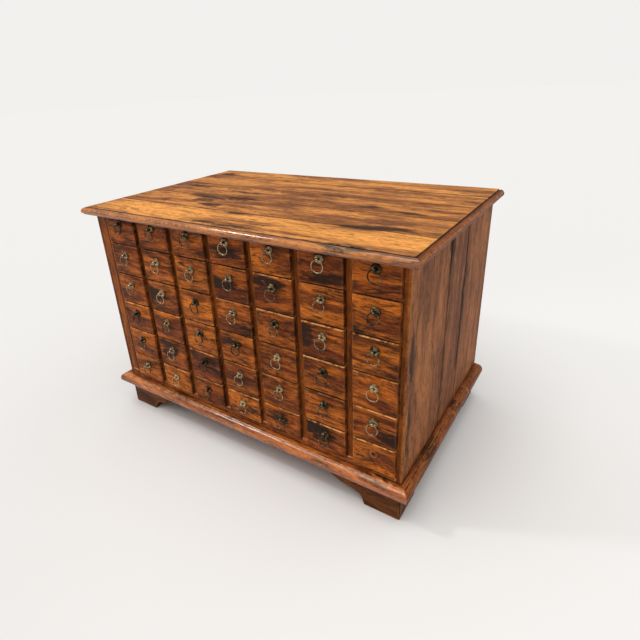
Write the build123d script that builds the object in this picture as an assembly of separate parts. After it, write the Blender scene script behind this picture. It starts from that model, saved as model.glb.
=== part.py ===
from build123d import *
import os

os.makedirs("parts", exist_ok=True)

# Seed storage cabinet: a low chest of small overlay-front drawers with ring pulls.
# All sizes are in millimetres. Width runs along X, depth along Y with the drawer
# fronts facing -Y, and height along Z. The origin is on the floor, below the
# middle of the overall box.

# ---------------------------------------------------------------- driving dimensions
# Drawer grid
columns = 7
rows = 6
bay_width = 92.0              # clear width between two dividers
last_bay_trim = 3.0           # the right-hand bay is this much narrower than the rest
bay_height = 69.5             # clear height of the middle rows
end_bay_height = 61.7         # clear height of the top row and of the bottom row
divider_thickness = 18.0
shelf_thickness = 8.0

# Carcass
carcass_depth = 507.0         # front edges of the dividers to the outside of the back
side_thickness = 12.0
bottom_thickness = 18.0
back_thickness = 12.0
filler_width = 23.0           # strip that widens the left stile
filler_depth = 20.0
side_front_board_width = 205.0
side_middle_board_width = 110.0
bottom_board_count = 3
back_board_count = 6

# Top
top_thickness = 18.0
top_front_overhang = 13.0     # flat boards beyond the carcass, before the nosing
top_side_overhang = 10.0
top_front_plank_widths = (101.5, 108.0, 114.0, 100.0)
nosing_width = 12.0
nosing_crown = 12.0           # height of the rounded upper part of the nosing
nosing_fillet_step = 4.0      # square step under the nosing
nosing_fillet_height = 2.0
nosing_quirk = 1.2            # groove between the flat boards and the nosing
nosing_upper_point = (9.1, 14.0)   # on the curve: out from the flat boards, above their underside
nosing_lower_point = (11.2, 3.4)

# Base
base_height = 24.0
base_front_outset = 25.0      # tip of the base moulding beyond the carcass front
base_side_outset = 22.0
base_nose_width = 10.5        # rounded nose beyond the groove
base_nose_tip_height = 8.9
base_nose_upper_point = (2.7, 17.8)   # on the curve: back from the tip, above the underside
base_nose_lower_point = (1.5, 2.6)
base_nose_under_radius = 6.3  # the flat underside starts this far back from the tip
base_under_carcass = 34.0     # width of the frame that the carcass stands on
base_groove = 2.0
base_rear_rail_width = 60.0
side_moulding_seam = 190.0    # butt seam of the right-hand strip, from the back

# Feet
foot_height = 72.0
foot_thickness = 22.0
foot_front_proud = 2.5        # foot face in front of the carcass face
foot_bottom_length = 80.0
foot_top_length = 176.0
# Points of the curve up to the moulding: beyond the toe, above the floor
foot_ogee_points = ((4.0, 13.0), (13.0, 24.5), (28.0, 30.2), (56.0, 36.0), (82.0, 47.5))
foot_rear_inset = 2.0
foot_block_size = 40.0
foot_block_gap = 4.0          # the corner block stops short of the floor

# Drawers
front_thickness = 9.6
front_clearance = 0.4         # drawer front to the edges of dividers and shelves
front_side_lip = 1.0          # cover over the divider on each side
front_row_gap = 2.4           # open line between one row of fronts and the next
front_top_gap = 2.0           # top row fronts below the top boards
front_bottom_lip = 1.5        # bottom row fronts over the edge of the bottom boards
box_side_thickness = 6.0
box_back_thickness = 6.0
box_bottom_thickness = 4.0
box_side_clearance = 1.0
box_top_clearance = 4.0
box_running_clearance = 0.3
box_rear_clearance = 15.0

# Ring pulls
pull_drop = 26.0              # centre of the rosette below the line above its row
rosette_radius = 10.0
rosette_rim = 1.0
rosette_height = 4.6
rosette_dome_point = (6.2, 3.8)    # on the dome: out from the middle, above the drawer front
shank_radius = 1.5
eye_radius = 4.2
eye_hole_radius = 2.1
shank_tail_length = 12.0      # ends of the split pin, bent flat inside the drawer
shank_tail_thickness = 1.2
shank_tail_width = 3.0
ring_radius = 11.8            # to the middle of the wire
ring_wire_radius = 1.3
ring_with_own_node_column = 7
lost_ring_row = 6             # the pull of this drawer is missing: only its hole is left
lost_ring_column = 7

# ---------------------------------------------------------------- worked-out positions
front_plane = 0.0
carcass_front = front_plane + front_thickness + front_clearance
carcass_back = carcass_front + carcass_depth
back_inner_face = carcass_back - back_thickness

bay_pitch = bay_width + divider_thickness
stile_width = side_thickness + filler_width + divider_thickness
bays_width = columns * bay_pitch - divider_thickness - last_bay_trim
carcass_width = stile_width + bays_width + side_thickness

left_face = -carcass_width / 2
right_face = carcass_width / 2
left_inner_face = left_face + side_thickness
right_inner_face = right_face - side_thickness
first_bay_left = left_face + stile_width

foot_top = foot_height
ledge = foot_height + base_height
bottom_top = ledge + bottom_thickness
middle_rows_height = (rows - 2) * bay_height + (rows - 1) * shelf_thickness
carcass_top = bottom_top + 2 * end_bay_height + middle_rows_height
top_surface = carcass_top + top_thickness

row_pitch = bay_height + shelf_thickness
first_shelf_middle = carcass_top - end_bay_height - shelf_thickness / 2

foot_front_face = carcass_front - foot_front_proud
foot_rear_face = carcass_back - foot_rear_inset

# The ball of the eye just meets the crown of the rosette around the shank
eye_centre = -(rosette_height + (eye_radius**2 - shank_radius**2) ** 0.5)

overall_front = carcass_front - base_front_outset
overall_middle = (overall_front + carcass_back) / 2
centring = Pos(0, -overall_middle, 0)

LEFT = (-1, 0, 0)
RIGHT = (1, 0, 0)
FORWARD = (0, -1, 0)
BACKWARD = (0, 1, 0)


# ---------------------------------------------------------------- helpers
def board(x, y, z):
    """Straight board between (low, high) pairs along X, Y and Z."""
    middle = Pos((x[0] + x[1]) / 2, (y[0] + y[1]) / 2, (z[0] + z[1]) / 2)
    return middle * Box(x[1] - x[0], y[1] - y[0], z[1] - z[0])


def upright(outline, corner, along, thick_towards, thickness):
    """Extrude an upright outline that runs in the direction along, from its corner."""
    normal = Vector(*along).cross(Vector(0, 0, 1))
    plane = Plane(origin=corner, x_dir=along, z_dir=normal)
    amount = thickness * normal.dot(Vector(*thick_towards))
    return extrude(plane * outline, amount=amount)


def mitred(strip, plan, heights):
    """Keep the part of a moulding strip that stands over a plan outline."""
    low, high = heights
    outline = make_face(Polyline(*plan, close=True))
    return strip & extrude(Pos(0, 0, low) * outline, amount=high - low)


def export_node(name, pieces):
    """Write one node, moved to the middle of the overall box."""
    solids = [centring * solid for piece in pieces for solid in piece.solids()]
    export_step(Compound(solids), f"parts/{name}.step")


def bay_left(column):
    return first_bay_left + (column - 1) * bay_pitch


def bay_right(column):
    if column == columns:
        return right_inner_face
    return bay_left(column) + bay_width


def shelf_middle(row):
    """Height of the middle of the shelf under a row, counted from the top."""
    return first_shelf_middle - (row - 1) * row_pitch


def bay_bottom(row):
    if row == rows:
        return bottom_top
    return shelf_middle(row) + shelf_thickness / 2


def bay_top(row):
    if row == 1:
        return carcass_top
    return shelf_middle(row - 1) - shelf_thickness / 2


# ---------------------------------------------------------------- carcass
def side_boards(outer, inner):
    x = (min(outer, inner), max(outer, inner))
    first_joint = carcass_front + side_front_board_width
    second_joint = first_joint + side_middle_board_width
    joints = (carcass_front, first_joint, second_joint, carcass_back)
    return [board(x, pair, (ledge, carcass_top)) for pair in zip(joints, joints[1:])]


def bottom_boards():
    depth = (back_inner_face - carcass_front) / bottom_board_count
    x = (left_inner_face, right_inner_face)
    boards = []
    for index in range(bottom_board_count):
        y = carcass_front + index * depth
        boards.append(board(x, (y, y + depth), (ledge, bottom_top)))
    return boards


def back_boards():
    width = (right_inner_face - left_inner_face) / back_board_count
    boards = []
    for index in range(back_board_count):
        x = left_inner_face + index * width
        boards.append(board((x, x + width), (back_inner_face, carcass_back), (ledge, carcass_top)))
    return boards


def column_dividers():
    """One guide panel left of each column; the side panel closes the last one."""
    y = (carcass_front, back_inner_face)
    z = (bottom_top, carcass_top)
    edges = [bay_left(column) for column in range(1, columns + 1)]
    return [board((edge - divider_thickness, edge), y, z) for edge in edges]


def drawer_shelves():
    y = (carcass_front, back_inner_face)
    shelves = []
    for row in range(1, rows):
        middle = shelf_middle(row)
        z = (middle - shelf_thickness / 2, middle + shelf_thickness / 2)
        for column in range(1, columns + 1):
            shelves.append(board((bay_left(column), bay_right(column)), y, z))
    return shelves


def left_filler_strip():
    x = (left_inner_face, left_inner_face + filler_width)
    y = (carcass_front, carcass_front + filler_depth)
    return [board(x, y, (bottom_top, carcass_top))]


# ---------------------------------------------------------------- top
def top_planks():
    x = (left_face - top_side_overhang, right_face + top_side_overhang)
    joints = [carcass_front - top_front_overhang]
    for width in top_front_plank_widths:
        joints.append(joints[-1] + width)
    joints.append(carcass_back)
    return [board(x, pair, (carcass_top, top_surface)) for pair in zip(joints, joints[1:])]


def nosing_outline():
    """Section of the nosing: a rounded crown over a small square step."""
    step = nosing_width - nosing_fillet_step
    tip = (nosing_width, top_thickness - nosing_crown)
    quirk_floor = (0, top_thickness - nosing_quirk)
    crown_start = (nosing_quirk, top_thickness)
    under_end = (step, nosing_fillet_height)
    edges = [
        Line((0, 0), (step, 0)),
        Line((step, 0), under_end),
        ThreePointArc(under_end, nosing_lower_point, tip),
        ThreePointArc(tip, nosing_upper_point, crown_start),
        Line(crown_start, quirk_floor),
        Line(quirk_floor, (0, 0)),
    ]
    return make_face(edges)


def top_moulding():
    outline = nosing_outline()
    left = left_face - top_side_overhang
    right = right_face + top_side_overhang
    front = carcass_front - top_front_overhang
    tip_left = left - nosing_width
    tip_right = right + nosing_width
    tip_front = front - nosing_width
    z = (carcass_top, top_surface)
    width = tip_right - tip_left
    length = carcass_back - tip_front
    front_strip = upright(outline, (tip_left, front, carcass_top), FORWARD, RIGHT, width)
    front_plan = ((tip_left, tip_front), (tip_right, tip_front), (right, front), (left, front))
    strips = [mitred(front_strip, front_plan, z)]
    for edge, tip, outwards in ((left, tip_left, LEFT), (right, tip_right, RIGHT)):
        strip = upright(outline, (edge, tip_front, carcass_top), outwards, BACKWARD, length)
        plan = ((tip, tip_front), (edge, front), (edge, carcass_back), (tip, carcass_back))
        strips.append(mitred(strip, plan, z))
    return strips


# ---------------------------------------------------------------- base
def base_outline(outset):
    """Section of the base moulding, from its inner edge out to the nose."""
    inner = -base_under_carcass
    groove = outset - base_nose_width
    nose_top = (groove + base_groove / 2, base_height - base_groove / 2)
    groove_floor = (groove, base_height - base_groove)
    groove_edge = (groove - base_groove / 2, base_height - base_groove / 4)
    tip = (outset, base_nose_tip_height)
    upper_point = (outset - base_nose_upper_point[0], base_nose_upper_point[1])
    lower_point = (outset - base_nose_lower_point[0], base_nose_lower_point[1])
    under_end = (outset - base_nose_under_radius, 0)
    edges = [
        Line((inner, 0), under_end),
        ThreePointArc(under_end, lower_point, tip),
        ThreePointArc(tip, upper_point, nose_top),
        Line(nose_top, groove_floor),
        Line(groove_floor, groove_edge),
        Line(groove_edge, (0, base_height)),
        Line((0, base_height), (inner, base_height)),
        Line((inner, base_height), (inner, 0)),
    ]
    return make_face(edges)


def base_moulding():
    """Mitred frame under the carcass: front, two sides and a plain rear rail."""
    tip_left = left_face - base_side_outset
    tip_right = right_face + base_side_outset
    tip_front = carcass_front - base_front_outset
    inner_left = left_face + base_under_carcass
    inner_right = right_face - base_under_carcass
    inner_front = carcass_front + base_under_carcass
    z = (foot_top, ledge)
    width = tip_right - tip_left
    length = carcass_back - tip_front
    front_outline = base_outline(base_front_outset)
    side_outline = base_outline(base_side_outset)
    front_corner = (tip_left, carcass_front, foot_top)
    front_strip = upright(front_outline, front_corner, FORWARD, RIGHT, width)
    front_plan = (
        (tip_left, tip_front),
        (tip_right, tip_front),
        (inner_right, inner_front),
        (inner_left, inner_front),
    )
    sides = []
    for face, inner, tip, outwards in (
        (left_face, inner_left, tip_left, LEFT),
        (right_face, inner_right, tip_right, RIGHT),
    ):
        strip = upright(side_outline, (face, tip_front, foot_top), outwards, BACKWARD, length)
        plan = ((tip, tip_front), (inner, inner_front), (inner, carcass_back), (tip, carcass_back))
        sides.append(mitred(strip, plan, z))
    left_strip, right_strip = sides
    before_seam = board((0, tip_right), (tip_front, carcass_back - side_moulding_seam), z)
    rear_y = (carcass_back - base_rear_rail_width, carcass_back)
    return [
        mitred(front_strip, front_plan, z),
        left_strip,
        right_strip & before_seam,
        right_strip - before_seam,
        board((inner_left, inner_right), rear_y, z),
    ]


# ---------------------------------------------------------------- feet
def bracket_outline(start):
    """Bracket foot seen from its face: a straight toe and an ogee up to the moulding."""
    toe = (foot_bottom_length, 0)
    ogee = [(foot_bottom_length + beyond, height) for beyond, height in foot_ogee_points]
    ankle, instep_middle, instep, rise_middle, rise = ogee
    edges = [
        Line((start, 0), toe),
        Line(toe, ankle),
        ThreePointArc(ankle, instep_middle, instep),
        ThreePointArc(instep, rise_middle, rise),
        Line(rise, (foot_top_length, foot_height)),
        Line((foot_top_length, foot_height), (start, foot_height)),
        Line((start, foot_height), (start, 0)),
    ]
    return make_face(edges)


def foot_pair(face_y, inward):
    """Two feet on one side of the cabinet, each a face bracket and a side bracket."""
    face_outline = bracket_outline(0)
    side_outline = bracket_outline(foot_thickness)
    pieces = []
    for x, along in ((left_face, RIGHT), (right_face, LEFT)):
        corner = (x, face_y, 0)
        pieces.append(upright(face_outline, corner, along, inward, foot_thickness))
        pieces.append(upright(side_outline, corner, inward, along, foot_thickness))
    return pieces


def foot_blocks():
    """Square glue blocks inside the corners of the four feet."""
    blocks = []
    z = (foot_block_gap, foot_top)
    front = foot_front_face + foot_thickness
    rear = foot_rear_face - foot_thickness
    left = left_face + foot_thickness
    right = right_face - foot_thickness
    for x in ((left, left + foot_block_size), (right - foot_block_size, right)):
        for y in ((front, front + foot_block_size), (rear - foot_block_size, rear)):
            blocks.append(board(x, y, z))
    return blocks


# ---------------------------------------------------------------- ring pulls
def rosette():
    """Domed round plate on the drawer front, open in the middle for the split pin."""
    rim = (rosette_radius, -rosette_rim)
    crown = (shank_radius, -rosette_height)
    dome_middle = (rosette_dome_point[0], -rosette_dome_point[1])
    edges = [
        Line((shank_radius, 0), (rosette_radius, 0)),
        Line((rosette_radius, 0), rim),
        ThreePointArc(rim, dome_middle, crown),
        Line(crown, (shank_radius, 0)),
    ]
    return revolve(make_face(edges), Axis.Y)


def split_pin():
    """Ball eye with a cross hole, a shank through the front and tails bent inside."""
    ball_tip = (0, eye_centre - eye_radius)
    neck = (shank_radius, -rosette_height)
    shank_end = (shank_radius, front_thickness)
    edges = [
        Line(ball_tip, (0, front_thickness)),
        Line((0, front_thickness), shank_end),
        Line(shank_end, neck),
        ThreePointArc(neck, (eye_radius, eye_centre), ball_tip),
    ]
    pin = revolve(make_face(edges), Axis.Y)
    cross_hole = Pos(0, eye_centre, 0) * (Rot(0, 90, 0) * Cylinder(eye_hole_radius, 4 * eye_radius))
    half_width = shank_tail_width / 2
    half_length = shank_tail_length / 2
    tail_y = (front_thickness, front_thickness + shank_tail_thickness)
    tail = board((-half_width, half_width), tail_y, (-half_length, half_length))
    return pin - cross_hole + tail


def ring():
    """Wire ring hanging through the eye."""
    return Pos(0, eye_centre, -ring_radius) * (Rot(90, 0, 0) * Torus(ring_radius, ring_wire_radius))


# ---------------------------------------------------------------- drawers
def front_heights(row):
    """Bottom and top of the drawer fronts of a row."""
    shelf_cover = (shelf_thickness - front_row_gap) / 2
    low = bay_bottom(row) - (front_bottom_lip if row == rows else shelf_cover)
    high = bay_top(row) + (-front_top_gap if row == 1 else shelf_cover)
    return low, high


def pull_position(row, column):
    line_above = first_shelf_middle + (2 - row) * row_pitch
    middle = (bay_left(column) + bay_right(column)) / 2
    return Pos(middle, front_plane, line_above - pull_drop)


def drawer_box(row, column):
    """Sides, back and bottom of a drawer, butted inside one another."""
    left = bay_left(column) + box_side_clearance
    right = bay_right(column) - box_side_clearance
    inner = (left + box_side_thickness, right - box_side_thickness)
    low = bay_bottom(row) + box_running_clearance
    high = bay_top(row) - box_top_clearance
    near = front_plane + front_thickness
    far = back_inner_face - box_rear_clearance
    return [
        board((left, inner[0]), (near, far), (low, high)),
        board((inner[1], right), (near, far), (low, high)),
        board(inner, (far - box_back_thickness, far), (low, high)),
        board(inner, (near, far - box_back_thickness), (low, low + box_bottom_thickness)),
    ]


def drawer_front(row, column):
    x = (bay_left(column) - front_side_lip, bay_right(column) + front_side_lip)
    panel = board(x, (front_plane, front_plane + front_thickness), front_heights(row))
    shank_hole = Rot(90, 0, 0) * Cylinder(shank_radius, 4 * front_thickness)
    return panel - pull_position(row, column) * shank_hole


# ---------------------------------------------------------------- nodes
export_node("left_side_boards", side_boards(left_face, left_inner_face))
export_node("right_side_boards", side_boards(right_face, right_inner_face))
export_node("bottom_boards", bottom_boards())
export_node("back_boards", back_boards())
export_node("column_dividers", column_dividers())
export_node("drawer_shelves", drawer_shelves())
export_node("left_filler_strip", left_filler_strip())
export_node("top_planks", top_planks())
export_node("top_moulding", top_moulding())
export_node("base_moulding", base_moulding())
export_node("front_feet", foot_pair(foot_front_face, BACKWARD))
export_node("rear_feet", foot_pair(foot_rear_face, FORWARD))
export_node("foot_corner_blocks", foot_blocks())

rosette_piece = rosette()
pin_piece = split_pin()
ring_piece = ring()

for row in range(1, rows + 1):
    for column in range(1, columns + 1):
        pieces = [drawer_front(row, column)] + drawer_box(row, column)
        place = pull_position(row, column)
        if (row, column) != (lost_ring_row, lost_ring_column):
            pieces += [place * rosette_piece, place * pin_piece]
            if column == ring_with_own_node_column:
                export_node(f"ring_row{row}_col{column}", [place * ring_piece])
            else:
                pieces.append(place * ring_piece)
        export_node(f"drawer_row{row}_col{column}", pieces)

width = 2 * (right_face + base_side_outset)
depth = carcass_back - overall_front
print(f"overall {width:.1f} x {depth:.1f} x {top_surface:.1f} mm")
print(f"depth offset {overall_middle:.2f}, carcass front {carcass_front - overall_middle:.2f}")
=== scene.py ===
import math
import random

import bmesh
import bpy
from mathutils import Matrix, Vector, noise


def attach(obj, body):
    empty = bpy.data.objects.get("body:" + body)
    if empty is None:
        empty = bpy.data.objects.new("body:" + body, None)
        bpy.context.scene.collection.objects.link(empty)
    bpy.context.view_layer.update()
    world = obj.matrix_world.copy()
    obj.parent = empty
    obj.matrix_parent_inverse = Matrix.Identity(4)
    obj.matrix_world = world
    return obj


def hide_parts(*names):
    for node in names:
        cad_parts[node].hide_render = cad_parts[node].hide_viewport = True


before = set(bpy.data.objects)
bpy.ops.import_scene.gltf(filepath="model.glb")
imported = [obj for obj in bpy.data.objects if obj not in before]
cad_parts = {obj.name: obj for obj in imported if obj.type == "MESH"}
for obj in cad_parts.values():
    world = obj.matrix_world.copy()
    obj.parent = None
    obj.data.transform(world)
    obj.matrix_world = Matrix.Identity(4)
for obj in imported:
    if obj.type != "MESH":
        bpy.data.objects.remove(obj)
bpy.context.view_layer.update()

# Seed storage cabinet. Metres, width along X, drawer fronts facing -Y, floor at z 0.

# ---------------------------------------------------------------- sizes
COLUMNS, ROWS = 7, 6
BAY_PITCH, BAY_WIDTH, FIRST_BAY = 0.110, 0.092, -0.354
LEFT_FACE, RIGHT_FACE = -0.407, 0.407
LEFT_INNER, RIGHT_INNER = -0.395, 0.395
CARCASS_FRONT, CARCASS_BACK, BACK_INNER = -0.241, 0.266, 0.254
FRONT_PLANE, FRONT_BACK = -0.251, -0.2414
FOOT_TOP, LEDGE, BOTTOM_TOP = 0.072, 0.096, 0.114
CARCASS_TOP, TOP_SURFACE = 0.5554, 0.5734
FIRST_SHELF, ROW_PITCH, HALF_SHELF = 0.4897, 0.0775, 0.004
DIVIDER = 0.018
SIDE_JOINTS = (CARCASS_FRONT + 0.205, CARCASS_FRONT + 0.315)
WAXED_EDGE = 0.0017
STRIP_WIDTH, STRIP_DEPTH = 0.023, 0.020
BACK_BOARDS, BOTTOM_BOARDS = 6, 3

# How far a front laps over its bay, and the drawer box behind it
SIDE_LAP, SHELF_LAP, LOWEST_LAP, TOP_GAP = 0.001, 0.0028, 0.0015, 0.002
BOX_GAP, BOX_FLOOR_GAP, BOX_RIM_GAP, BOX_REAR_GAP = 0.001, 0.0003, 0.004, 0.015
BOX_WALL, BOX_BOTTOM = 0.006, 0.004

TOP_FRONT = CARCASS_FRONT - 0.013
TOP_LEFT, TOP_RIGHT = LEFT_FACE - 0.010, RIGHT_FACE + 0.010
PLANK_JOINTS = tuple(TOP_FRONT + reach for reach in (0.1015, 0.2095, 0.3235, 0.4235))
NOSING_REACH = 0.012

BASE_FRONT_REACH, BASE_SIDE_REACH, BASE_BEHIND = 0.025, 0.022, 0.034
SEAM, HALF_SEAM = CARCASS_BACK - 0.190, 0.0003
REAR_RAIL = 0.060

BRACKET, TOE, FOOT_LENGTH = 0.022, 0.080, 0.176
FOOT_BENDS = (
    (0.004, 0.013), (0.013, 0.0245), (0.028, 0.0302), (0.056, 0.036), (0.082, 0.0475),
)
FOOT_ARRIS, FOOT_WEAR = 0.0012, 0.003
FRONT_FOOT_PLANE, REAR_FOOT_PLANE = CARCASS_FRONT - 0.0025, CARCASS_BACK - 0.002
GLUE_BLOCK, BLOCK_UNDERSIDE, BRACKET_AND_BLOCK = 0.040, 0.004, 0.062

PULL_DROP = 0.026
RING_RADIUS, WIRE_RADIUS = 0.0118, 0.0013
EYE_RADIUS, SHANK_RADIUS, DOME_HEIGHT = 0.0042, 0.0015, 0.0046
EYE_OUT = DOME_HEIGHT + math.sqrt(EYE_RADIUS**2 - SHANK_RADIUS**2)
EYE_BORE, ROSETTE_RADIUS, PIN_END = 0.0021, 0.010, 0.0096
LOST_PULL, LOST_HOLE_DEPTH = (6, 7), 0.017


def bay_left(column):
    return FIRST_BAY + (column - 1) * BAY_PITCH


def bay_right(column):
    return RIGHT_INNER if column == COLUMNS else bay_left(column) + BAY_WIDTH


def shelf_middle(row):
    return FIRST_SHELF - (row - 1) * ROW_PITCH


def bay_bottom(row):
    return BOTTOM_TOP if row == ROWS else shelf_middle(row) + HALF_SHELF


def bay_top(row):
    return CARCASS_TOP if row == 1 else shelf_middle(row - 1) - HALF_SHELF


def front_heights(row):
    low = bay_bottom(row) - (LOWEST_LAP if row == ROWS else SHELF_LAP)
    high = bay_top(row) + (-TOP_GAP if row == 1 else SHELF_LAP)
    return low, high


def pull_centre(row, column):
    middle = (bay_left(column) + bay_right(column)) / 2
    return Vector((middle, FRONT_PLANE, FIRST_SHELF + (2 - row) * ROW_PITCH - PULL_DROP))


# ---------------------------------------------------------------- marks of age
CHIP_LUMPS, FINE_LUMPS, WARP_LUMPS = 0.03, 0.02, 0.05
CREST_CHIP, LOWERED_ABOVE = 0.0004, 0.012


def soft_step(low, high, value):
    """Smooth rise from 0 at low to 1 at high."""
    share = min(1.0, max(0.0, (value - low) / (high - low)))
    return share * share * (3 - 2 * share)


def lumps(point, size):
    """Even noise from 0 to 1 with lumps of about that size."""
    return 0.5 + 0.5 * noise.noise(Vector(point) / size)


def painted_at(place, patches):
    """Sum of the stains, above 0, and the bleached areas, below 0, at a point.

    A patch has a middle, its reach along each axis, or 0 where it runs right through, and a depth.
    """
    total = 0.0
    for middle, reach, depth in patches:
        far = sum(((place[n] - middle[n]) / reach[n]) ** 2 for n in range(3) if reach[n])
        total += depth * (1 - soft_step(0.25, 1.2, math.sqrt(far)))
    return total


def kept_within(value, low=-1.0, high=1.0):
    return min(high, max(low, value))


def board_shift(seed):
    """Where in the tree a board was cut, so that no two boards match."""
    dice = random.Random(seed)
    return (dice.uniform(-3, 3), dice.uniform(-3, 3), dice.uniform(-3, 3))


# ---------------------------------------------------------------- gathering a piece
def show(name, data):
    item = bpy.data.objects.new(name, data)
    bpy.context.scene.collection.objects.link(item)
    return item


def finish_piece(name, mesh, body, nodes, sharp):
    """Show a mesh as a finished piece that rides on a body, with edges sharp past an angle."""
    mesh.name = name
    mesh.set_sharp_from_angle(angle=math.radians(sharp))
    mesh.update()
    piece = show(name, mesh)
    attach(piece, body)
    if nodes:
        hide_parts(*nodes)


def drilled(mesh, matrix, radius, depth):
    """Mesh with a round hole cut by a bit that the matrix puts in place."""
    bit = bmesh.new()
    bmesh.ops.create_cone(
        bit, cap_ends=True, segments=16, radius1=radius, radius2=radius, depth=depth
    )
    bmesh.ops.transform(bit, matrix=matrix, verts=bit.verts)
    hole = bpy.data.meshes.new("bit")
    bit.to_mesh(hole)
    bit.free()
    board, tool = show(mesh.name, mesh), show("bit", hole)
    cut = board.modifiers.new("cut", "BOOLEAN")
    cut.object = tool
    cut.operation = "DIFFERENCE"
    graph = bpy.context.evaluated_depsgraph_get()
    result = bpy.data.meshes.new_from_object(board.evaluated_get(graph))
    for item in (board, tool):
        bpy.data.objects.remove(item)
    return result


class Shape:
    """Points and faces of one piece, with the marks that its materials read."""

    def __init__(self):
        self.points = []
        self.faces = []
        self.finish = []
        self.marks = {"wear_and_sheen": [], "dirt_and_shade": [], "smoked": [], "tone": []}
        self.shift = []

    def add(self, points, faces, wear_and_sheen, dirt_and_shade, smoked, tone, shift, finish=0):
        """Add one board. finish is the place of its material in the piece's list."""
        start = len(self.points)
        self.points += [Vector(point) for point in points]
        self.faces += [tuple(start + index for index in face) for face in faces]
        self.finish += [finish] * len(faces)
        self.marks["wear_and_sheen"] += wear_and_sheen
        self.marks["dirt_and_shade"] += dirt_and_shade
        self.marks["smoked"] += smoked
        self.marks["tone"] += [tone] * len(points)
        self.shift += [shift] * len(points)

    def make(self, name, materials, nodes, body="carcass", hole=None):
        """Turn the gathered boards into one finished piece."""
        mesh = bpy.data.meshes.new(name)
        mesh.from_pydata(self.points, [], self.faces)
        mesh.polygons.foreach_set("material_index", self.finish)
        for label, values in self.marks.items():
            mesh.attributes.new(label, "FLOAT", "POINT").data.foreach_set("value", values)
        flat = [part for shift in self.shift for part in shift]
        mesh.attributes.new("shift", "FLOAT_VECTOR", "POINT").data.foreach_set("vector", flat)
        mesh.shade_smooth()
        for material in materials:
            mesh.materials.append(material)
        if hole:
            mesh = drilled(mesh, *hole)
        finish_piece(name, mesh, body, nodes, 50)


def grid_lines(low, high, arris, wear, step):
    """Lines across one side of a board, close together at its arrises."""
    span = high - low
    if span < 2.4 * wear:
        return [low, low + arris, high - arris, high]
    inside = max(1, round((span - 2 * wear) / step))
    middle = [low + wear + (span - 2 * wear) * index / inside for index in range(inside + 1)]
    return [low, low + arris] + middle + [high - arris, high]


def add_board(
    shape, low, high, seed, tone=0.5, arris=0.001, wear=0.004, step=0.02, chip=0.35, dark_sides=(),
    finish=0, patches=(), cup=0.0, rub_and_sheen=None, shade_and_grime=0.0, shaded_faces=(), shade_depth=0.75,
):
    """Board between two corners, with rounded, unevenly worn arrises.

    Sides are (axis, -1 or 1). dark_sides names those whose arrises are darkened, with dirt in
    joints and painted shade in gaps, and shaded_faces those that are dark all over with painted
    shade, by shade_depth, below a clean top arris. rub_and_sheen gives how bright the arrises of a
    side are, with wear and a painted highlight, shade_and_grime darkens a broken band along all
    arrises with painted shade and grime, and cup hollows the upper face.
    """
    lines = [grid_lines(low[axis], high[axis], arris, wear, step) for axis in range(3)]
    counts = [len(line) for line in lines]
    shift = board_shift(seed)
    found = {}
    points, faces, wear_and_sheen, dirt_and_shade, smoked = [], [], [], [], []

    def corner(index):
        if index in found:
            return found[index]
        place = Vector([lines[axis][index[axis]] for axis in range(3)])
        core = Vector([
            min(max(place[axis], low[axis] + arris), high[axis] - arris) for axis in range(3)
        ])
        out = place - core
        sides = [(place[axis] - low[axis], (axis, -1)) for axis in range(3)]
        sides += [(high[axis] - place[axis], (axis, 1)) for axis in range(3)]
        gap = sorted(min(place[n] - low[n], high[n] - place[n]) for n in range(3))[1]
        near = 1 - soft_step(arris, wear, gap)
        if rub_and_sheen is not None:
            near *= max(rub_and_sheen.get(side, 0.0) for _, side in sorted(sides)[:2])
        if out.length > 1e-9:
            reach = arris
            if gap < arris * 0.5:
                reach *= 1 - chip * lumps(place + Vector(shift), CHIP_LUMPS)
            place = core + out.normalized() * reach
        if cup and out.z > 0:
            across = (place.y - low[1]) / (high[1] - low[1])
            place.z -= cup * 4 * across * (1 - across)
        # Darker at some sides: dirt in joints and painted shade in gaps; dark all over on the
        # shaded faces, painted shade
        shade_and_dirt = 0.0
        for axis, side in dark_sides:
            edge = low[axis] if side < 0 else high[axis]
            shade_and_dirt = max(shade_and_dirt, 1 - soft_step(0.0, wear, abs(place[axis] - edge)))
        for axis, side in shaded_faces:
            at_side = index[axis] == (0 if side < 0 else counts[axis] - 1)
            if at_side and place.z < high[2] - 0.4 * arris:
                shade_and_dirt = shade_depth
        found[index] = len(points)
        points.append(place)
        wear_and_sheen.append(near * (1 - shade_and_dirt))
        # A broken dark band along the arrises: painted shade and grime
        broken = soft_step(0.35, 0.7, lumps(place + Vector(shift), FINE_LUMPS))
        band = (1 - soft_step(arris, 2.2 * wear, gap)) * broken
        dirt_and_shade.append(max(shade_and_dirt, shade_and_grime * band * (1 - near)))
        smoked.append(kept_within(painted_at(place, patches)))
        return found[index]

    for axis in range(3):
        across, up = [other for other in range(3) if other != axis]
        for end in (0, counts[axis] - 1):
            turned = (end == 0) == (axis != 1)
            for i in range(counts[across] - 1):
                for j in range(counts[up] - 1):
                    ring = []
                    for di, dj in ((0, 0), (1, 0), (1, 1), (0, 1)):
                        index = [0, 0, 0]
                        index[axis], index[across], index[up] = end, i + di, j + dj
                        ring.append(corner(tuple(index)))
                    faces.append(tuple(reversed(ring)) if turned else tuple(ring))
    shape.add(points, faces, wear_and_sheen, dirt_and_shade, smoked, tone, shift, finish)


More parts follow.
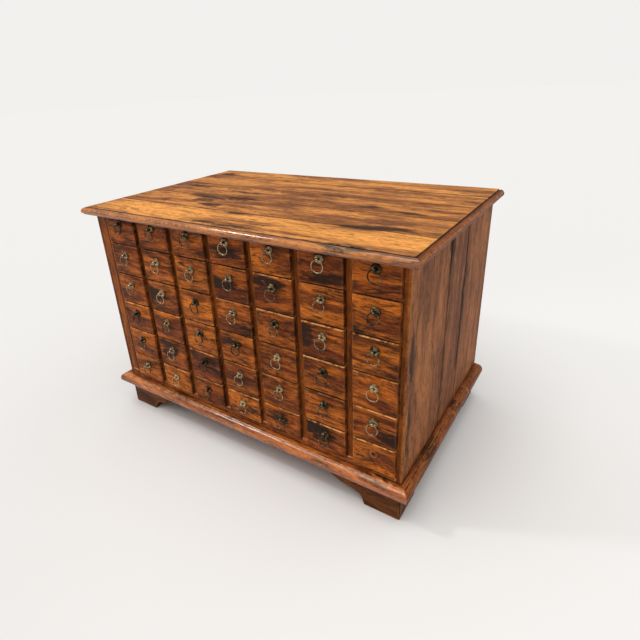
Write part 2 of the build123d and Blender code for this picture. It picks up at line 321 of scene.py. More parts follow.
# ---------------------------------------------------------------- materials
class Recipe:
    """A node tree, with short ways to add the nodes that this cabinet needs."""

    def __init__(self, tree):
        self.tree = tree

    def feed(self, target, value):
        """Link a socket to an output, or set it to a plain value."""
        if isinstance(value, bpy.types.NodeSocket):
            self.tree.links.new(value, target)
        elif target.type == "RGBA":
            target.default_value = (*value, 1)
        else:
            target.default_value = value

    def node(self, kind, inputs, **settings):
        """New node. Its inputs are given by name or by place."""
        made = self.tree.nodes.new(kind)
        for label, value in settings.items():
            setattr(made, label, value)
        for label, value in inputs.items():
            self.feed(made.inputs[label], value)
        return made

    def made(self, kind, inputs, **settings):
        """First output of a new node."""
        return self.node(kind, inputs, **settings).outputs[0]

    def maths(self, operation, first, second, clamp):
        inputs = {0: first, 1: second}
        return self.made("ShaderNodeMath", inputs, operation=operation, use_clamp=clamp)

    def plus(self, first, second, clamp=False):
        return self.maths("ADD", first, second, clamp)

    def minus(self, first, second):
        return self.maths("SUBTRACT", first, second, False)

    def times(self, first, second, clamp=False):
        return self.maths("MULTIPLY", first, second, clamp)

    def vector(self, x, y, z):
        return self.made("ShaderNodeCombineXYZ", {0: x, 1: y, 2: z})

    def split(self, vector):
        return self.node("ShaderNodeSeparateXYZ", {0: vector}).outputs

    def blend(self, share, first, second):
        inputs = {0: share, 6: first, 7: second}
        return self.node("ShaderNodeMix", inputs, data_type="RGBA").outputs[2]

    def rise(self, value, low, high):
        """Smooth rise from 0 at low to 1 at high."""
        inputs = {0: value, 1: low, 2: high}
        return self.made("ShaderNodeMapRange", inputs, interpolation_type="SMOOTHSTEP")

    def stretched(self, place, scales):
        return self.made("ShaderNodeVectorMath", {0: place, 1: scales}, operation="MULTIPLY")

    def speckle(self, place, scales, detail=3.0, roughness=0.5, distortion=0.0):
        """Noise with so many lumps per metre along each axis."""
        return self.made("ShaderNodeTexNoise", {
            "Vector": self.stretched(place, scales), "Scale": 1.0, "Detail": detail,
            "Roughness": roughness, "Distortion": distortion,
        })

    def mark(self, label, output="Fac"):
        return self.node("ShaderNodeAttribute", {}, attribute_name=label).outputs[output]

    def object_place(self):
        return self.node("ShaderNodeTexCoord", {}).outputs["Object"]

    def polished(self, colour, rough, height, strength, distance, **others):
        """Last part of a material: the shader, with fine relief from height."""
        relief = {"Strength": strength, "Distance": distance, "Height": height}
        inputs = {"Base Color": colour, "Roughness": rough}
        inputs["Normal"] = self.made("ShaderNodeBump", relief)
        for label, value in others.items():
            inputs[label.replace("_", " ")] = value
        shader = self.made("ShaderNodeBsdfPrincipled", inputs)
        self.node("ShaderNodeOutputMaterial", {0: shader})


def new_material(name):
    material = bpy.data.materials.new(name)
    material.use_nodes = True
    material.node_tree.nodes.clear()
    return material, Recipe(material.node_tree)


GRAIN_ORDER = {"X": (0, 1, 2), "Y": (1, 0, 2), "Z": (2, 1, 0)}
GRAIN_WANDER = 0.075
# Dark colour of dirt and of painted shade; black painted into the lost pull's hole, painted shade
SOOT_AND_SHADE, HOLE_BLACK = (0.012, 0.007, 0.005), (0.01, 0.006, 0.004)


def waxed_wood(
    name, axis, light, middle, dark, wear_and_sheen, smoke=0.5, fleck=0.5, wear=0.6, gloss=0.42,
    contrast=1.0, shine=0.16, ghost=None, bumpy=0.5,
):
    """Old waxed hardwood: figure, fibres, smoky streaks, knots, worn arrises and dirt in joints,
    with a painted highlight on some arrises and painted shade in gaps and under parts.

    The grain runs along axis, and every board has its own place in the tree.
    """
    material, mix = new_material(name)
    around = mix.object_place()
    moved = mix.made("ShaderNodeVectorMath", {0: around, 1: mix.mark("shift", "Vector")})
    parts = mix.split(moved)
    place = mix.vector(*[parts[source] for source in GRAIN_ORDER[axis]])
    push = mix.times(mix.minus(mix.speckle(place, (2.4, 9, 9), 2), 0.5), GRAIN_WANDER)
    waved = mix.made("ShaderNodeVectorMath", {0: place, 1: mix.vector(0.0, push, push)})

    figure = mix.speckle(waved, (5.0, 34, 34), 3, 0.6)
    bands = mix.speckle(waved, (11.0, 120, 120), 4, 0.72, 0.7)
    mottle = mix.speckle(waved, (34, 175, 175), 3, 0.65, 0.6)
    fibres = mix.speckle(waved, (48, 420, 420), 3, 0.7)
    pores = mix.speckle(waved, (80, 1500, 1500), 2, 0.6)
    clouds = mix.speckle(place, (12.0, 50, 50), 5, 0.72, 0.8)
    areas = mix.speckle(place, (3.2, 11, 11), 2)

    spread = 0.15 / contrast
    colour = mix.blend(mix.rise(figure, 0.5 - spread, 0.5 + spread), middle, light)

    # Bleached areas, with ragged borders
    painted = mix.mark("smoked")
    ragged = mix.times(mix.minus(mottle, 0.5), 0.4)
    bleached = mix.plus(mix.times(painted, -1.0, True), ragged)
    bleached = mix.rise(mix.plus(bleached, mix.minus(0.5, clouds)), 0.15, 0.9)
    colour = mix.blend(mix.times(bleached, 0.8), colour, light)

    # Figure: each pattern tints the wood where it rises from low to high
    for pattern, low, high, depth, tint in (
        (areas, 0.5, 0.72, 0.4, middle),
        (bands, 0.5, 0.72, 0.68, dark),
        (mix.minus(1.0, bands), 0.53, 0.78, 0.4, light),
        (mottle, 0.48, 0.72, 0.5, dark),
        (mix.minus(1.0, mottle), 0.55, 0.78, 0.4, light),
        (fibres, 0.47, 0.7, 0.55, dark),
        (pores, 0.58, 0.75, 0.35, dark),
    ):
        share = mix.times(mix.rise(pattern, low, high), depth * contrast, True)
        colour = mix.blend(share, colour, tint)

    # Smoky streaks: some everywhere, more where a board is marked
    level = mix.plus(clouds, mix.times(mix.minus(areas, 0.5), 0.5))
    level = mix.plus(mix.plus(level, ragged), mix.times(painted, 0.27))
    stained = mix.plus(painted, smoke, True)
    streaks = mix.times(mix.rise(level, 0.53, 0.72), stained, True)
    colour = mix.blend(mix.times(streaks, 0.92), colour, dark)

    # Small dark knots and flecks, in one cell out of four
    cells = mix.node(
        "ShaderNodeTexVoronoi", {"Vector": mix.stretched(waved, (9, 26, 26)), "Scale": 1.0}
    ).outputs
    chance = mix.made("ShaderNodeSeparateColor", {0: cells["Color"]})
    knot = mix.minus(1.0, mix.rise(cells["Distance"], 0.05, 0.22))
    knot = mix.times(knot, mix.rise(chance, 0.72, 0.8))
    colour = mix.blend(mix.times(knot, fleck), colour, dark)

    # Every board has its own depth of colour
    tone = mix.mark("tone")
    colour = mix.made("ShaderNodeHueSaturation", {
        "Color": colour, "Value": mix.plus(mix.times(tone, 1.1), 0.45),
        "Hue": mix.plus(mix.times(tone, 0.016), 0.492),
    })

    # Ring mark that a lost pull has left: a dark halo, a pale broken ring, and its hole with black
    # painted in and around it as painted shade
    if ghost:
        away = mix.node("ShaderNodeVectorMath", {0: around, 1: ghost}, operation="DISTANCE")
        away = away.outputs["Value"]
        broken = mix.rise(mix.speckle(around, (420, 420, 420), 2), 0.38, 0.6)
        halo = mix.minus(mix.rise(away, 0.0078, 0.0092), mix.rise(away, 0.0105, 0.016))
        pale = mix.minus(mix.rise(away, 0.0056, 0.0070), mix.rise(away, 0.0082, 0.0094))
        colour = mix.blend(mix.times(halo, 0.4), colour, dark)
        colour = mix.blend(mix.times(mix.times(pale, broken), 0.3), colour, wear_and_sheen)
        inside = mix.minus(1.0, mix.rise(away, 0.0021, 0.0034))
        colour = mix.blend(inside, colour, HOLE_BLACK)

    # Arrises lighter where worn, the top arrises of the drawer fronts also with a painted
    # highlight; darker with dirt in joints and painted shade in gaps and under parts; fine
    # scratches a little lighter than the wax
    rubbed = mix.rise(mix.speckle(around, (90, 90, 90), 4, 0.65), 0.36, 0.62)
    edge = mix.times(mix.times(mix.mark("wear_and_sheen"), rubbed), wear, True)
    colour = mix.blend(edge, colour, wear_and_sheen)
    shade_and_dirt = mix.times(mix.mark("dirt_and_shade"), 0.85)
    colour = mix.blend(shade_and_dirt, colour, SOOT_AND_SHADE)
    scratch = mix.rise(mix.speckle(around, (26, 190, 190), 2, 0.5, 1.5), 0.68, 0.74)
    colour = mix.blend(mix.times(scratch, 0.25), colour, wear_and_sheen)

    rough = mix.plus(mix.plus(gloss, mix.times(fibres, 0.14)), mix.times(shade_and_dirt, 0.3), True)
    dents = mix.speckle(around, (48, 48, 48), 2)
    height = mix.plus(mix.times(fibres, 0.5), mix.times(dents, 1.2))
    height = mix.plus(height, mix.times(pores, 0.35))
    mix.polished(colour, rough, height, bumpy, 0.0011, Specular_IOR_Level=shine)
    return material


def aged_brass(name):
    """Old brass with brown patina, rubbed bright where a pull stands proud of its front, and
    darker close to the front with patina and painted shade.
    """
    material, mix = new_material(name)
    place = mix.object_place()
    spots = mix.speckle(place, (190, 190, 190), 3, 0.5)
    handled = mix.speckle(place, (8.3, 8.3, 8.3), 0)
    bright_metal = mix.rise(mix.plus(mix.times(spots, 0.5), mix.times(handled, 0.5)), 0.40, 0.62)
    # Darker close to the front: patina and painted shade where the pull meets the wood. The ring
    # and the outer part of the eye are a little darker
    proud = mix.minus(FRONT_PLANE, mix.split(place)[1])
    raised = mix.rise(proud, 0.0010, 0.0044)
    raised = mix.minus(raised, mix.times(mix.rise(proud, 0.0060, 0.0085), 0.4))
    bright_metal = mix.times(bright_metal, mix.plus(mix.times(raised, 0.85), 0.15))
    colour = mix.blend(bright_metal, (0.034, 0.022, 0.012), (0.58, 0.42, 0.23))
    rough = mix.minus(0.30, mix.times(bright_metal, 0.10))
    grit = mix.speckle(place, (1400, 1400, 1400), 2)
    mix.polished(colour, rough, grit, 0.25, 0.0002, Metallic=1.0)
    return material


# Colours of each wood: light and middle of the figure, dark streaks, worn arrises, which also
# carry painted highlights
DARK, WEAR_AND_SHEEN = (0.020, 0.008, 0.0035), (0.80, 0.36, 0.11)
LOST_PULL_PLACE = tuple(pull_centre(*LOST_PULL))
top_wood = waxed_wood(
    "waxed_top", "X",
    (0.68, 0.262, 0.062), (0.235, 0.078, 0.026), (0.034, 0.015, 0.010), (0.80, 0.42, 0.15),
    smoke=0.45, wear=0.35, shine=0.05, contrast=1.15,
)
drawer_wood = waxed_wood(
    "waxed_drawer_front", "X",
    (0.62, 0.155, 0.013), (0.150, 0.029, 0.004), DARK, WEAR_AND_SHEEN,
    smoke=0.7, fleck=0.6, wear=1.0, gloss=0.34, contrast=1.45, shine=0.1, ghost=LOST_PULL_PLACE,
)
frame_wood = waxed_wood(
    "waxed_frame", "Z",
    (0.38, 0.096, 0.010), (0.18, 0.041, 0.005), DARK, WEAR_AND_SHEEN,
    smoke=0.35, fleck=0.3, wear=0.2, shine=0.1,
)
side_wood = waxed_wood(
    "dull_side_panel", "Z",
    (0.47, 0.173, 0.059), (0.235, 0.082, 0.031), (0.040, 0.019, 0.012), (0.5, 0.24, 0.1),
    smoke=0.45, fleck=0.3, wear=0.4, gloss=0.5, contrast=1.1, shine=0.05,
)
front_moulding_wood = waxed_wood(
    "waxed_front_moulding", "X",
    (0.56, 0.165, 0.022), (0.25, 0.060, 0.009), DARK, (0.80, 0.36, 0.10),
    smoke=0.4, fleck=0.4, gloss=0.06, shine=0.8, contrast=1.25, bumpy=0.14,
)
side_moulding_wood = waxed_wood(
    "waxed_side_moulding", "Y",
    (0.40, 0.110, 0.024), (0.20, 0.050, 0.012), DARK, (0.72, 0.30, 0.09),
    smoke=0.4, fleck=0.4, gloss=0.3, shine=0.1, contrast=1.15,
)
base_front_wood = waxed_wood(
    "waxed_front_base", "X",
    (0.62, 0.160, 0.026), (0.27, 0.056, 0.010), DARK, (0.86, 0.42, 0.16),
    smoke=0.55, fleck=0.4, wear=0.8, gloss=0.09, shine=0.65, contrast=1.4, bumpy=0.22,
)
foot_wood = waxed_wood(
    "dark_foot", "X",
    (0.20, 0.058, 0.009), (0.085, 0.021, 0.004), DARK, (0.5, 0.2, 0.06),
    fleck=0.3, wear=0.5, shine=0.1, contrast=1.2,
)
inner_wood = waxed_wood(
    "bare_inner_wood", "Y",
    (0.42, 0.24, 0.11), (0.28, 0.145, 0.065), (0.10, 0.05, 0.025), (0.5, 0.33, 0.2),
    smoke=0.12, fleck=0.2, wear=0.2, gloss=0.62, contrast=0.7,
)
back_wood = waxed_wood(
    "plain_back_wood", "Z",
    (0.26, 0.12, 0.05), (0.15, 0.065, 0.03), (0.04, 0.022, 0.014), (0.4, 0.22, 0.11),
    smoke=0.3, fleck=0.3, wear=0.3, gloss=0.6,
)
pull_brass = aged_brass("old_brass")

# ---------------------------------------------------------------- carcass
# Stains, above 0, and bleached areas, below 0: from the front, up, reach of both, depth
SIDE_STAINS = [
    ((0, CARCASS_FRONT + from_front, z), (0, reach_y, reach_z), depth)
    for from_front, z, reach_y, reach_z, depth in (
        (0.205, 0.53, 0.012, 0.06, 1.0),
        (0.225, 0.50, 0.016, 0.09, 0.8),
        (0.215, 0.32, 0.012, 0.16, 0.5),
        (0.315, 0.34, 0.010, 0.20, 0.7),
        (0.025, 0.18, 0.020, 0.10, 0.7),
        (0.02, 0.36, 0.014, 0.08, 0.8),
        (0.12, 0.30, 0.05, 0.20, -0.4),
        (0.42, 0.35, 0.06, 0.20, -0.35),
    )
]


def neighbours(first, joints, last):
    """Boards between joints: near edge, far edge and which of its sides meet another board."""
    edges = (first, *joints, last)
    for near, far in zip(edges, edges[1:]):
        yield near, far, [(1, side) for side, at in ((-1, near), (1, far)) if at in joints]


for name, node, x, tones, seed in (
    ("left_side_panel", "left_side_boards", (LEFT_FACE, LEFT_INNER), (0.25, 0.45, 0.4), 11),
    ("right_side_panel", "right_side_boards", (RIGHT_INNER, RIGHT_FACE), (0.52, 0.4, 0.5), 21),
):
    shape = Shape()
    boards = neighbours(CARCASS_FRONT, SIDE_JOINTS, CARCASS_BACK)
    for index, (near, far, dark_sides) in enumerate(boards):
        # A broken dark band along the arrises: painted shade and grime
        add_board(
            shape, (x[0], near, LEDGE), (x[1], far, CARCASS_TOP), seed + index, tones[index],
            arris=0.0016, wear=0.0045, step=0.015, chip=0.2, dark_sides=dark_sides, shade_and_grime=0.6,
            patches=SIDE_STAINS,
        )
    for number, corners in enumerate(shape.faces):
        if all(shape.points[corner].y < CARCASS_FRONT + WAXED_EDGE for corner in corners):
            shape.finish[number] = 1
    shape.make(name, [side_wood, frame_wood], [node])

shape = Shape()
for index in range(BACK_BOARDS):
    width = (RIGHT_INNER - LEFT_INNER) / BACK_BOARDS
    x = LEFT_INNER + index * width
    add_board(
        shape, (x, BACK_INNER, LEDGE), (x + width, CARCASS_BACK, CARCASS_TOP), 31 + index,
        0.4 + 0.05 * (index % 3), arris=0.0012, step=0.04, dark_sides=[(0, -1), (0, 1)],
    )
shape.make("back_panel", [back_wood], ["back_boards"])

# The front edge of the first bottom board shows, waxed like the base
shape = Shape()
for index in range(BOTTOM_BOARDS):
    depth = (BACK_INNER - CARCASS_FRONT) / BOTTOM_BOARDS
    y = CARCASS_FRONT + index * depth
    add_board(
        shape, (LEFT_INNER, y, LEDGE), (RIGHT_INNER, y + depth, BOTTOM_TOP), 41 + index,
        0.4 + 0.06 * index, step=0.05, dark_sides=[(1, 1)] if index < BOTTOM_BOARDS - 1 else [],
        finish=1 if index == 0 else 0,
    )
shape.make("floor_boards", [inner_wood, base_front_wood], ["bottom_boards"])

DIVIDER_TONES = (0.62, 0.5, 0.66, 0.48, 0.6, 0.56, 0.42)
shape = Shape()
for column in range(1, COLUMNS + 1):
    edge = bay_left(column)
    # Both edges darkened: dirt and painted shade in the gaps beside the drawer fronts
    add_board(
        shape, (edge - DIVIDER, CARCASS_FRONT, BOTTOM_TOP), (edge, BACK_INNER, CARCASS_TOP),
        51 + column, DIVIDER_TONES[column - 1], arris=0.0006, wear=0.0022, step=0.03, chip=0.15,
        dark_sides=[(0, -1), (0, 1)],
    )
shape.make("upright_dividers", [frame_wood], ["column_dividers"])

shape = Shape()
for row in range(1, ROWS):
    for column in range(1, COLUMNS + 1):
        add_board(
            shape, (bay_left(column), CARCASS_FRONT, shelf_middle(row) - HALF_SHELF),
            (bay_right(column), BACK_INNER, shelf_middle(row) + HALF_SHELF),
            100 + row * 10 + column, 0.45, arris=0.0006, wear=0.003, step=0.06,
        )
shape.make("drawer_runner_shelves", [inner_wood], ["drawer_shelves"])

shape = Shape()
# Its inner edge darkened: dirt and painted shade beside the drawers
add_board(
    shape, (LEFT_INNER, CARCASS_FRONT, BOTTOM_TOP),
    (LEFT_INNER + STRIP_WIDTH, CARCASS_FRONT + STRIP_DEPTH, CARCASS_TOP), 61,
    arris=0.0008, wear=0.0035, chip=0.15, dark_sides=[(0, 1)],
)
shape.make("stile_strip", [frame_wood], ["left_filler_strip"])

# ---------------------------------------------------------------- top
PLANK_TONES = (0.84, 0.55, 0.52, 0.60, 0.72)
# Stains, above 0, and bleached areas, below 0: place, reach of both, depth
TOP_STAINS = [
    ((x, y, 0), (reach_x, reach_y, 0), depth)
    for x, y, reach_x, reach_y, depth in (
        (-0.370, 0.215, 0.045, 0.030, 1.0),
        (-0.185, -0.080, 0.050, 0.036, 0.9),
        (-0.135, -0.118, 0.042, 0.022, 1.2),
        (-0.235, -0.055, 0.050, 0.018, 0.6),
        (-0.101, -0.050, 0.070, 0.022, 0.8),
        (-0.150, 0.015, 0.090, 0.012, 0.7),
        (-0.021, -0.158, 0.045, 0.010, 0.8),
        (-0.045, -0.238, 0.040, 0.009, 1.1),
        (0.045, -0.240, 0.060, 0.011, 1.1),
        (0.095, -0.215, 0.045, 0.009, 0.8),
        (0.052, 0.170, 0.034, 0.018, 0.9),
        (0.211, -0.002, 0.050, 0.013, 0.9),
        (0.310, -0.020, 0.060, 0.009, 0.8),
        (0.270, -0.150, 0.062, 0.014, 1.0),
        (0.330, -0.135, 0.055, 0.010, 0.9),
        (0.357, -0.178, 0.030, 0.010, 0.8),
        (-0.294, -0.105, 0.018, 0.018, 0.9),
        (-0.330, 0.040, 0.080, 0.014, 0.6),
        (0.100, 0.060, 0.120, 0.014, 0.5),
        (0.290, -0.252, 0.050, 0.010, 0.8),
        (-0.267, 0.110, 0.130, 0.050, -1.3),
        (-0.010, 0.165, 0.100, 0.045, -1.1),
        (0.111, -0.170, 0.110, 0.017, -1.4),
        (0.290, -0.203, 0.200, 0.044, -1.5),
        (-0.220, -0.200, 0.230, 0.050, -1.3),
        (0.271, 0.096, 0.160, 0.016, -1.0),
        (-0.330, -0.160, 0.070, 0.030, -0.5),
        (0.150, 0.005, 0.040, 0.020, -0.4),
        (-0.335, -0.085, 0.085, 0.045, -1.1),
        (0.330, 0.030, 0.070, 0.040, 0.35),
    )
]

shape = Shape()
boards = neighbours(TOP_FRONT, PLANK_JOINTS, CARCASS_BACK)
for index, (near, far, dark_sides) in enumerate(boards):
    # The ends and front edge of each plank are darkened below the top arris: painted shade
    add_board(
        shape, (TOP_LEFT, near, CARCASS_TOP), (TOP_RIGHT, far, TOP_SURFACE), 71 + index,
        PLANK_TONES[index], arris=0.0013, wear=0.0036, step=0.009, chip=0.2, dark_sides=dark_sides,
        patches=TOP_STAINS, cup=0.0003, shaded_faces=[(0, -1), (0, 1), (1, -1)],
    )
shape.make("top_boards", [top_wood], ["top_planks"])


def arc(start, through, end, steps):
    """Points of the circle arc through three points, without the first."""
    ax, ay = start
    bx, by = through
    cx, cy = end
    d = 2 * (ax * (by - cy) + bx * (cy - ay) + cx * (ay - by))
    aa, bb, cc = ax**2 + ay**2, bx**2 + by**2, cx**2 + cy**2
    ux = (aa * (by - cy) + bb * (cy - ay) + cc * (ay - by)) / d
    uy = (aa * (cx - bx) + bb * (ax - cx) + cc * (bx - ax)) / d
    first = math.atan2(ay - uy, ax - ux)
    passed = (math.atan2(by - uy, bx - ux) - first) % math.tau
    turn = (math.atan2(cy - uy, cx - ux) - first) % math.tau
    if passed > turn:
        turn -= math.tau
    radius = math.hypot(ax - ux, ay - uy)
    angles = [first + turn * n / steps for n in range(1, steps + 1)]
    return [(ux + radius * math.cos(angle), uy + radius * math.sin(angle)) for angle in angles]


def add_strip(shape, section, marks, start, end, place, seed, tone, step=0.008, patches=()):
    """Moulding along a wall, with worn crests.

    start and end give where each outset of the mitred strip begins and stops, and place turns
    a place along it, an outset and a height into a point. A stain below -1 is a bare scratch.
    """
    shift = board_shift(seed)
    stations = max(2, round(abs(end(0) - start(0)) / step))
    count = len(section)
    points, wear_and_sheen, dirt_and_shade, smoked = [], [], [], []
    for station in range(stations + 1):
        share = station / stations
        for (outset, height), (rub_and_sheen, shade_and_dirt) in zip(section, marks):
            along = start(outset) + (end(outset) - start(outset)) * share
            point = Vector(place(along, outset, height))
            knock = CREST_CHIP * rub_and_sheen * lumps(point + Vector(shift), FINE_LUMPS)
            lowered = height - knock * 0.5 if height > LOWERED_ABOVE else height
            point = Vector(place(along, outset - knock, lowered))
            stain = painted_at(point, patches)
            points.append(point)
            wear_and_sheen.append(max(rub_and_sheen, kept_within(-stain - 1, 0.0)))
            dirt_and_shade.append(shade_and_dirt)
            smoked.append(kept_within(stain))
    faces = []
    for station in range(stations):
        for index in range(count):
            a, b = station * count + index, station * count + (index + 1) % count
            faces.append((a, b, b + count, a + count))
    faces.append(tuple(reversed(range(count))))
    faces.append(tuple(stations * count + index for index in range(count)))
    corner = points[faces[0][0]]
    normal = (points[faces[0][1]] - corner).cross(points[faces[0][3]] - corner)
    middle = sum(points, Vector()) / len(points)
    if normal.dot(corner - middle) < 0:
        faces = [tuple(reversed(face)) for face in faces]
    shape.add(points, faces, wear_and_sheen, dirt_and_shade, smoked, tone, shift)


def nosing_section():
    """Half round below a quirk, which leaves the edge of the planks standing.

    Points are (outset, height), and marks are how rubbed and how darkened each of them is: the
    underside and lower half are darkened as painted shade, the quirk with dirt and painted shade.
    """
    under, tip, crown = (0.008, 0.002), (NOSING_REACH, 0.0066), (0.0030, 0.0164)
    lower = arc(under, (0.0110, 0.0036), tip, 5)
    upper = arc(tip, (0.0096, 0.0132), crown, 12)
    quirk = [(0.0025, 0.0156), (0.0018, 0.0152), (0.0, 0.0152)]
    section = [(0.0, 0.0), (0.0076, 0.0), (0.008, 0.0004), under] + lower + upper + quirk
    # Underside and lower half darker: painted shade under the nosing. Quirk darker: dirt and
    # painted shade
    marks = [(0, 0.6), (0.2, 0.2), (0.2, 0.2), (0, 0.9)]
    marks += [(0, 0.12)] * len(lower) + [(0.1, 0.1), (0.2, 0.1)]
    marks += [(0.7, 0)] * 3 + [(0.3, 0)] * (len(upper) - 9)
    marks += [(0.1, 0.2), (0, 0.35), (0, 0.45), (0.2, 0.4), (0, 0.9), (0, 1), (0, 1)]
    return [(min(outset, NOSING_REACH), height) for outset, height in section], marks


def base_section(reach):
    """Half round with a worn crest and a groove behind it, below the ledge of the carcass."""
    groove = reach - 0.0105
    under, tip, top = (reach - 0.0063, 0.0), (reach, 0.0089), (groove + 0.001, 0.023)
    lower = arc(under, (reach - 0.0015, 0.0026), tip, 5)
    upper = arc(tip, (reach - 0.0027, 0.0178), top, 9)
    flat = [(groove, 0.022), (groove - 0.001, 0.0234), (groove - 0.003, 0.0236)]
    flat += [(0.003, 0.0239), (0.0, 0.024), (-BASE_BEHIND, 0.024)]
    section = [(-BASE_BEHIND, 0.0), under] + lower + upper + flat
    # Underside and lower half darker: painted shade under the moulding
    marks = [(0, 0), (0, 0.3)] + [(0, 0.2)] * len(lower) + [(0.1, 0)] * (len(upper) - 3)
    marks += [(0.35, 0)] * 2 + [(0.7, 0.1)]
    marks += [(0, 1), (0.9, 0), (0.1, 0), (0, 0.1), (0, 0.9), (0, 0)]
    return [(min(outset, reach), height) for outset, height in section], marks


NOSING_STAINS = (
    ((0.283, 0, 0.5695), (0.036, 0, 0.0075), 1.6),
    ((0.330, 0, 0.5725), (0.060, 0, 0.0045), 1.2),
    ((0.360, 0, 0.564), (0.060, 0, 0.02), -0.7),
    ((0.180, 0, 0.562), (0.060, 0, 0.02), -0.5),
    ((-0.250, 0, 0.564), (0.140, 0, 0.02), -0.8),
)
section, marks = nosing_section()
shape = Shape()
add_strip(
    shape, section, marks, lambda o: TOP_LEFT - o, lambda o: TOP_RIGHT + o,
    lambda along, o, h: (along, TOP_FRONT - o, CARCASS_TOP + h), 81, 0.62,
    patches=NOSING_STAINS,
)
shape.make("front_nosing", [front_moulding_wood], ())
shape = Shape()
for side, edge, tone in ((-1, TOP_LEFT, 0.4), (1, TOP_RIGHT, 0.36)):
    add_strip(
        shape, section, marks, lambda o: TOP_FRONT - o, lambda o: CARCASS_BACK,
        lambda along, o, h, side=side, edge=edge: (edge + side * o, along, CARCASS_TOP + h),
        83 + side, tone,
    )
shape.make("side_nosings", [side_moulding_wood], ["top_moulding"])

# ---------------------------------------------------------------- base
# Stains, above 0, bleached areas, below 0, and bare scratches, below -1
BASE_STAINS = (
    ((0.366, -0.2515, 0.0955), (0.012, 0.005, 0), -3.2),
    ((0.390, -0.2530, 0.0955), (0.005, 0.008, 0), -3.4),
    ((0.346, -0.2440, 0.0955), (0.008, 0.004, 0), -2.8),
    ((0.362, -0.264, 0.085), (0.040, 0, 0), 0.4),
    ((0.130, -0.262, 0.088), (0.120, 0, 0), -0.6),
    ((-0.050, -0.262, 0.088), (0.060, 0, 0), 0.4),
    ((-0.240, -0.262, 0.088), (0.080, 0, 0), 0.4),
    ((0.414, 0.139, 0.092), (0, 0.0035, 0), -2.4),
    ((0.417, 0.033, 0.092), (0, 0.0030, 0), -2.2),
    ((0.417, 0.060, 0.092), (0, 0.030, 0), 0.7),
    ((0.417, -0.120, 0.092), (0, 0.060, 0), 0.5),
)


def mitre(outset, own_reach, other_reach):
    """How far past its corner a moulding runs at an outset, to meet the one around it."""
    return outset * other_reach / own_reach if outset > 0 else outset


def front_mitre(outset):
    return mitre(outset, BASE_FRONT_REACH, BASE_SIDE_REACH)


def side_start(outset):
    return CARCASS_FRONT - mitre(outset, BASE_SIDE_REACH, BASE_FRONT_REACH)


shape = Shape()
add_strip(
    shape, *base_section(BASE_FRONT_REACH),
    lambda o: LEFT_FACE - front_mitre(o), lambda o: RIGHT_FACE + front_mitre(o),
    lambda along, o, h: (along, CARCASS_FRONT - o, FOOT_TOP + h), 91, 0.62,
    step=0.004, patches=BASE_STAINS,
)
shape.make("front_base_moulding", [base_front_wood], ())

# The right side moulding is in two lengths
shape = Shape()
for side, face, near, far, seed, tone in (
    (-1, LEFT_FACE, side_start, lambda o: CARCASS_BACK, 93, 0.45),
    (1, RIGHT_FACE, side_start, lambda o: SEAM - HALF_SEAM, 94, 0.5),
    (1, RIGHT_FACE, lambda o: SEAM + HALF_SEAM, lambda o: CARCASS_BACK, 95, 0.42),
):
    add_strip(
        shape, *base_section(BASE_SIDE_REACH), near, far,
        lambda along, o, h, side=side, face=face: (face + side * o, along, FOOT_TOP + h),
        seed, tone, step=0.004, patches=BASE_STAINS if side > 0 else (),
    )
add_board(
    shape, (LEFT_FACE + BASE_BEHIND, CARCASS_BACK - REAR_RAIL, FOOT_TOP),
    (RIGHT_FACE - BASE_BEHIND, CARCASS_BACK, LEDGE), 96, 0.4, step=0.06,
)
shape.make("side_base_mouldings", [side_moulding_wood], ["base_moulding"])


# ---------------------------------------------------------------- feet
def foot_outline(start):
    """Bracket seen from its face, as (along, up) from the corner: it ends in an ogee."""
    bends = [(TOE + along, up) for along, up in FOOT_BENDS]
    curve = arc(*bends[:3], 6) + arc(*bends[2:], 7)
    sawn = [(start, 0.0), (TOE, 0.0), bends[0]] + curve
    return sawn + [(FOOT_LENGTH, FOOT_TOP), (start, FOOT_TOP)]


def add_bracket(shape, outline, place, seed, tone):
    """Bracket of a foot: a sawn outline with rounded arrises, worn but for its broad faces."""
    mesh = bmesh.new()
    front = mesh.faces.new([mesh.verts.new(place(along, 0.0, up)) for along, up in outline])
    grown = bmesh.ops.extrude_face_region(mesh, geom=[front])["geom"]
    behind = [part for part in grown if isinstance(part, bmesh.types.BMVert)]
    step = Vector(place(0, BRACKET, 0)) - Vector(place(0, 0, 0))
    bmesh.ops.translate(mesh, verts=behind, vec=step)
    bmesh.ops.recalc_face_normals(mesh, faces=mesh.faces)
    sharp = [edge for edge in mesh.edges if edge.calc_face_angle(0) > math.radians(30)]
    bmesh.ops.bevel(
        mesh, geom=sharp, offset=FOOT_ARRIS, segments=2, affect="EDGES", clamp_overlap=True
    )
    broad = [face for face in mesh.faces if len(face.verts) > 8]
    broad += [face for face in mesh.faces if face.calc_area() > 4e-5 and len(face.verts) <= 8]
    bmesh.ops.inset_individual(mesh, faces=broad, thickness=FOOT_WEAR)
    mesh.verts.index_update()
    calm = {vertex.index for face in broad for vertex in face.verts}
    bmesh.ops.triangulate(mesh, faces=[face for face in mesh.faces if len(face.verts) > 4])
    mesh.verts.index_update()
    ends = [Vector(place(along, deep, up)) for along, up in outline for deep in (0.0, BRACKET)]
    for axis in range(3):
        low, high = min(end[axis] for end in ends), max(end[axis] for end in ends)
        for vertex in mesh.verts:
            vertex.co[axis] = min(max(vertex.co[axis], low), high)
    points = [vertex.co.copy() for vertex in mesh.verts]
    faces = [tuple(vertex.index for vertex in face.verts) for face in mesh.faces]
    mesh.free()
    wear_and_sheen = [0.0 if index in calm else 0.9 for index in range(len(points))]
    none = [0.0] * len(points)
    shape.add(points, faces, wear_and_sheen, none, none, tone, board_shift(seed))


